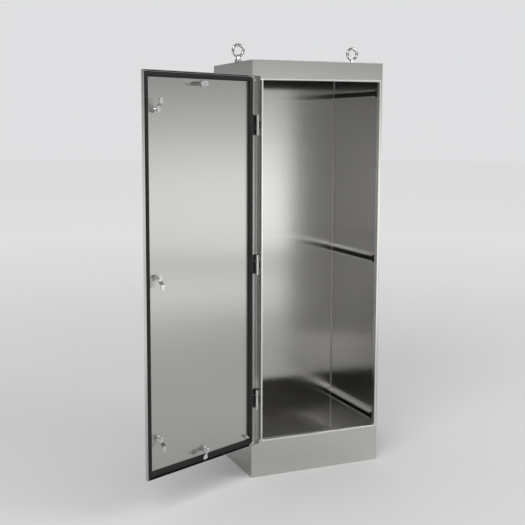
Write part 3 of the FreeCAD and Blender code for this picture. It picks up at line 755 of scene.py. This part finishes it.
def add_dark_card():
    """A curved dark card between camera and cabinet, which only reflections see."""
    build = bmesh.new()
    lines = []
    for height in (FLAG_FOOT, FLAG_HEIGHT):
        line = []
        for step in range(FLAG_STEPS + 1):
            first, last = FLAG_SPAN
            angle = math.radians(first + (last - first) * step / FLAG_STEPS)
            line.append(build.verts.new((FLAG_RADIUS * math.sin(angle),
                                         -FLAG_RADIUS * math.cos(angle), height)))
        lines.append(line)
    for step in range(FLAG_STEPS):
        build.faces.new((lines[0][step], lines[0][step + 1], lines[1][step + 1],
                         lines[1][step]))
    card = stage_object(build, "dark_card")
    material, _, glow = glow_material("dark_card")
    glow.inputs["Color"].default_value = (*FLAG_COLOUR, 1.0)
    card.data.materials.append(material)
    hide_card(card, material)


def add_light_ring():
    """A wide ring of soft light round the studio that only reflections see."""
    build = bmesh.new()
    bmesh.ops.create_cone(build, cap_ends=False, segments=CIRCLE_STEPS, radius1=RING_RADIUS,
                          radius2=RING_RADIUS, depth=RING_HEIGHT)
    card = stage_object(build, "light_ring")
    card.location.z = RING_HEIGHT / 2
    material, tree, glow = glow_material("light_ring")
    coords = tree.nodes.new("ShaderNodeTexCoord")
    split = tree.nodes.new("ShaderNodeSeparateXYZ")
    ramp = tree.nodes.new("ShaderNodeValToRGB")
    bearing = tree.nodes.new("ShaderNodeMath")
    bearing.operation = "ARCTAN2"
    around = tree.nodes.new("ShaderNodeValToRGB")
    fill_ramp(ramp, RING_STEPS)
    fill_ramp(around, BEARING_STEPS)
    tree.links.new(coords.outputs["Object"], split.inputs["Vector"])
    tree.links.new(spread(tree, split.outputs["Z"], 0.0, 1.0, -RING_HEIGHT / 2, RING_HEIGHT / 2),
                   ramp.inputs["Fac"])
    tree.links.new(split.outputs["X"], bearing.inputs[0])
    tree.links.new(sums(tree, "MULTIPLY", split.outputs["Y"], -1.0), bearing.inputs[1])
    tree.links.new(spread(tree, bearing.outputs["Value"], 0.0, 1.0, -math.pi, math.pi),
                   around.inputs["Fac"])
    tree.links.new(ramp.outputs["Color"], glow.inputs["Color"])
    tree.links.new(around.outputs["Color"], glow.inputs["Strength"])
    card.data.materials.append(material)
    hide_card(card, material)


def add_room():
    """Even light from all round, a pale haze for the camera and a darker room in reflections."""
    world = bpy.data.worlds.new("room")
    bpy.context.scene.world = world
    world.use_nodes = True
    tree = world.node_tree
    tree.nodes.clear()
    path = tree.nodes.new("ShaderNodeLightPath")
    output = tree.nodes.new("ShaderNodeOutputWorld")
    shades = {}
    for name, colour in (("even", scaled((1.0, 1.0, 1.0), ROOM_LIGHT)),
                         ("mirror", scaled((1.0, 1.0, 0.99), ROOM_MIRROR)), ("haze", HAZE_COLOUR)):
        shades[name] = tree.nodes.new("ShaderNodeBackground")
        shades[name].inputs["Color"].default_value = (*colour, 1.0)
    lit = tree.nodes.new("ShaderNodeMixShader")
    seen = tree.nodes.new("ShaderNodeMixShader")
    tree.links.new(path.outputs["Is Glossy Ray"], lit.inputs[0])
    tree.links.new(shades["even"].outputs["Background"], lit.inputs[1])
    tree.links.new(shades["mirror"].outputs["Background"], lit.inputs[2])
    tree.links.new(path.outputs["Is Camera Ray"], seen.inputs[0])
    tree.links.new(lit.outputs["Shader"], seen.inputs[1])
    tree.links.new(shades["haze"].outputs["Background"], seen.inputs[2])
    tree.links.new(seen.outputs["Shader"], output.inputs["Surface"])


def add_soft_light(name, place, aim, size, power):
    """One large soft lamp."""
    data = bpy.data.lights.new(name, "AREA")
    data.shape = "RECTANGLE"
    data.size, data.size_y = size
    data.energy = power
    lamp = bpy.data.objects.new(name, data)
    bpy.context.scene.collection.objects.link(lamp)
    lamp.location = place
    lamp.rotation_euler = (Vector(aim) - Vector(place)).to_track_quat("-Z", "Y").to_euler()


def add_camera():
    """The viewpoint, in front and to the left, looking slightly down."""
    data = bpy.data.cameras.new("camera")
    data.lens = LENS
    data.sensor_width = SENSOR
    data.shift_x, data.shift_y = CAMERA_SHIFT
    camera = bpy.data.objects.new("camera", data)
    bpy.context.scene.collection.objects.link(camera)
    camera.location = CAMERA_PLACE
    azimuth = math.radians(CAMERA_AZIMUTH)
    pitch = math.radians(CAMERA_PITCH)
    ahead = Vector((math.sin(azimuth) * math.cos(pitch), math.cos(azimuth) * math.cos(pitch),
                    math.sin(pitch)))
    camera.rotation_euler = ahead.to_track_quat("-Z", "Y").to_euler()
    bpy.context.scene.camera = camera


def build_stage():
    """Floor, light and camera."""
    plain = add_floor("floor", PLAIN_STEPS)
    plain.visible_glossy = False
    mirrored = add_floor("mirrored_floor", MIRRORED_STEPS)
    mirrored.location = MIRRORED_PLACE
    mirrored.visible_camera = False
    mirrored.visible_diffuse = False
    mirrored.visible_shadow = False
    add_light_ring()
    add_dark_card()
    add_room()
    for name, (place, size, power) in LAMPS.items():
        add_soft_light(name, place, LAMP_AIM, size, power)
    add_camera()
    bpy.context.scene.view_settings.view_transform = "Standard"


build_stage()
finish_frame()
add_gasket()
add_latches()
add_studs()
add_eyes()
add_rail_teeth()
add_welds()
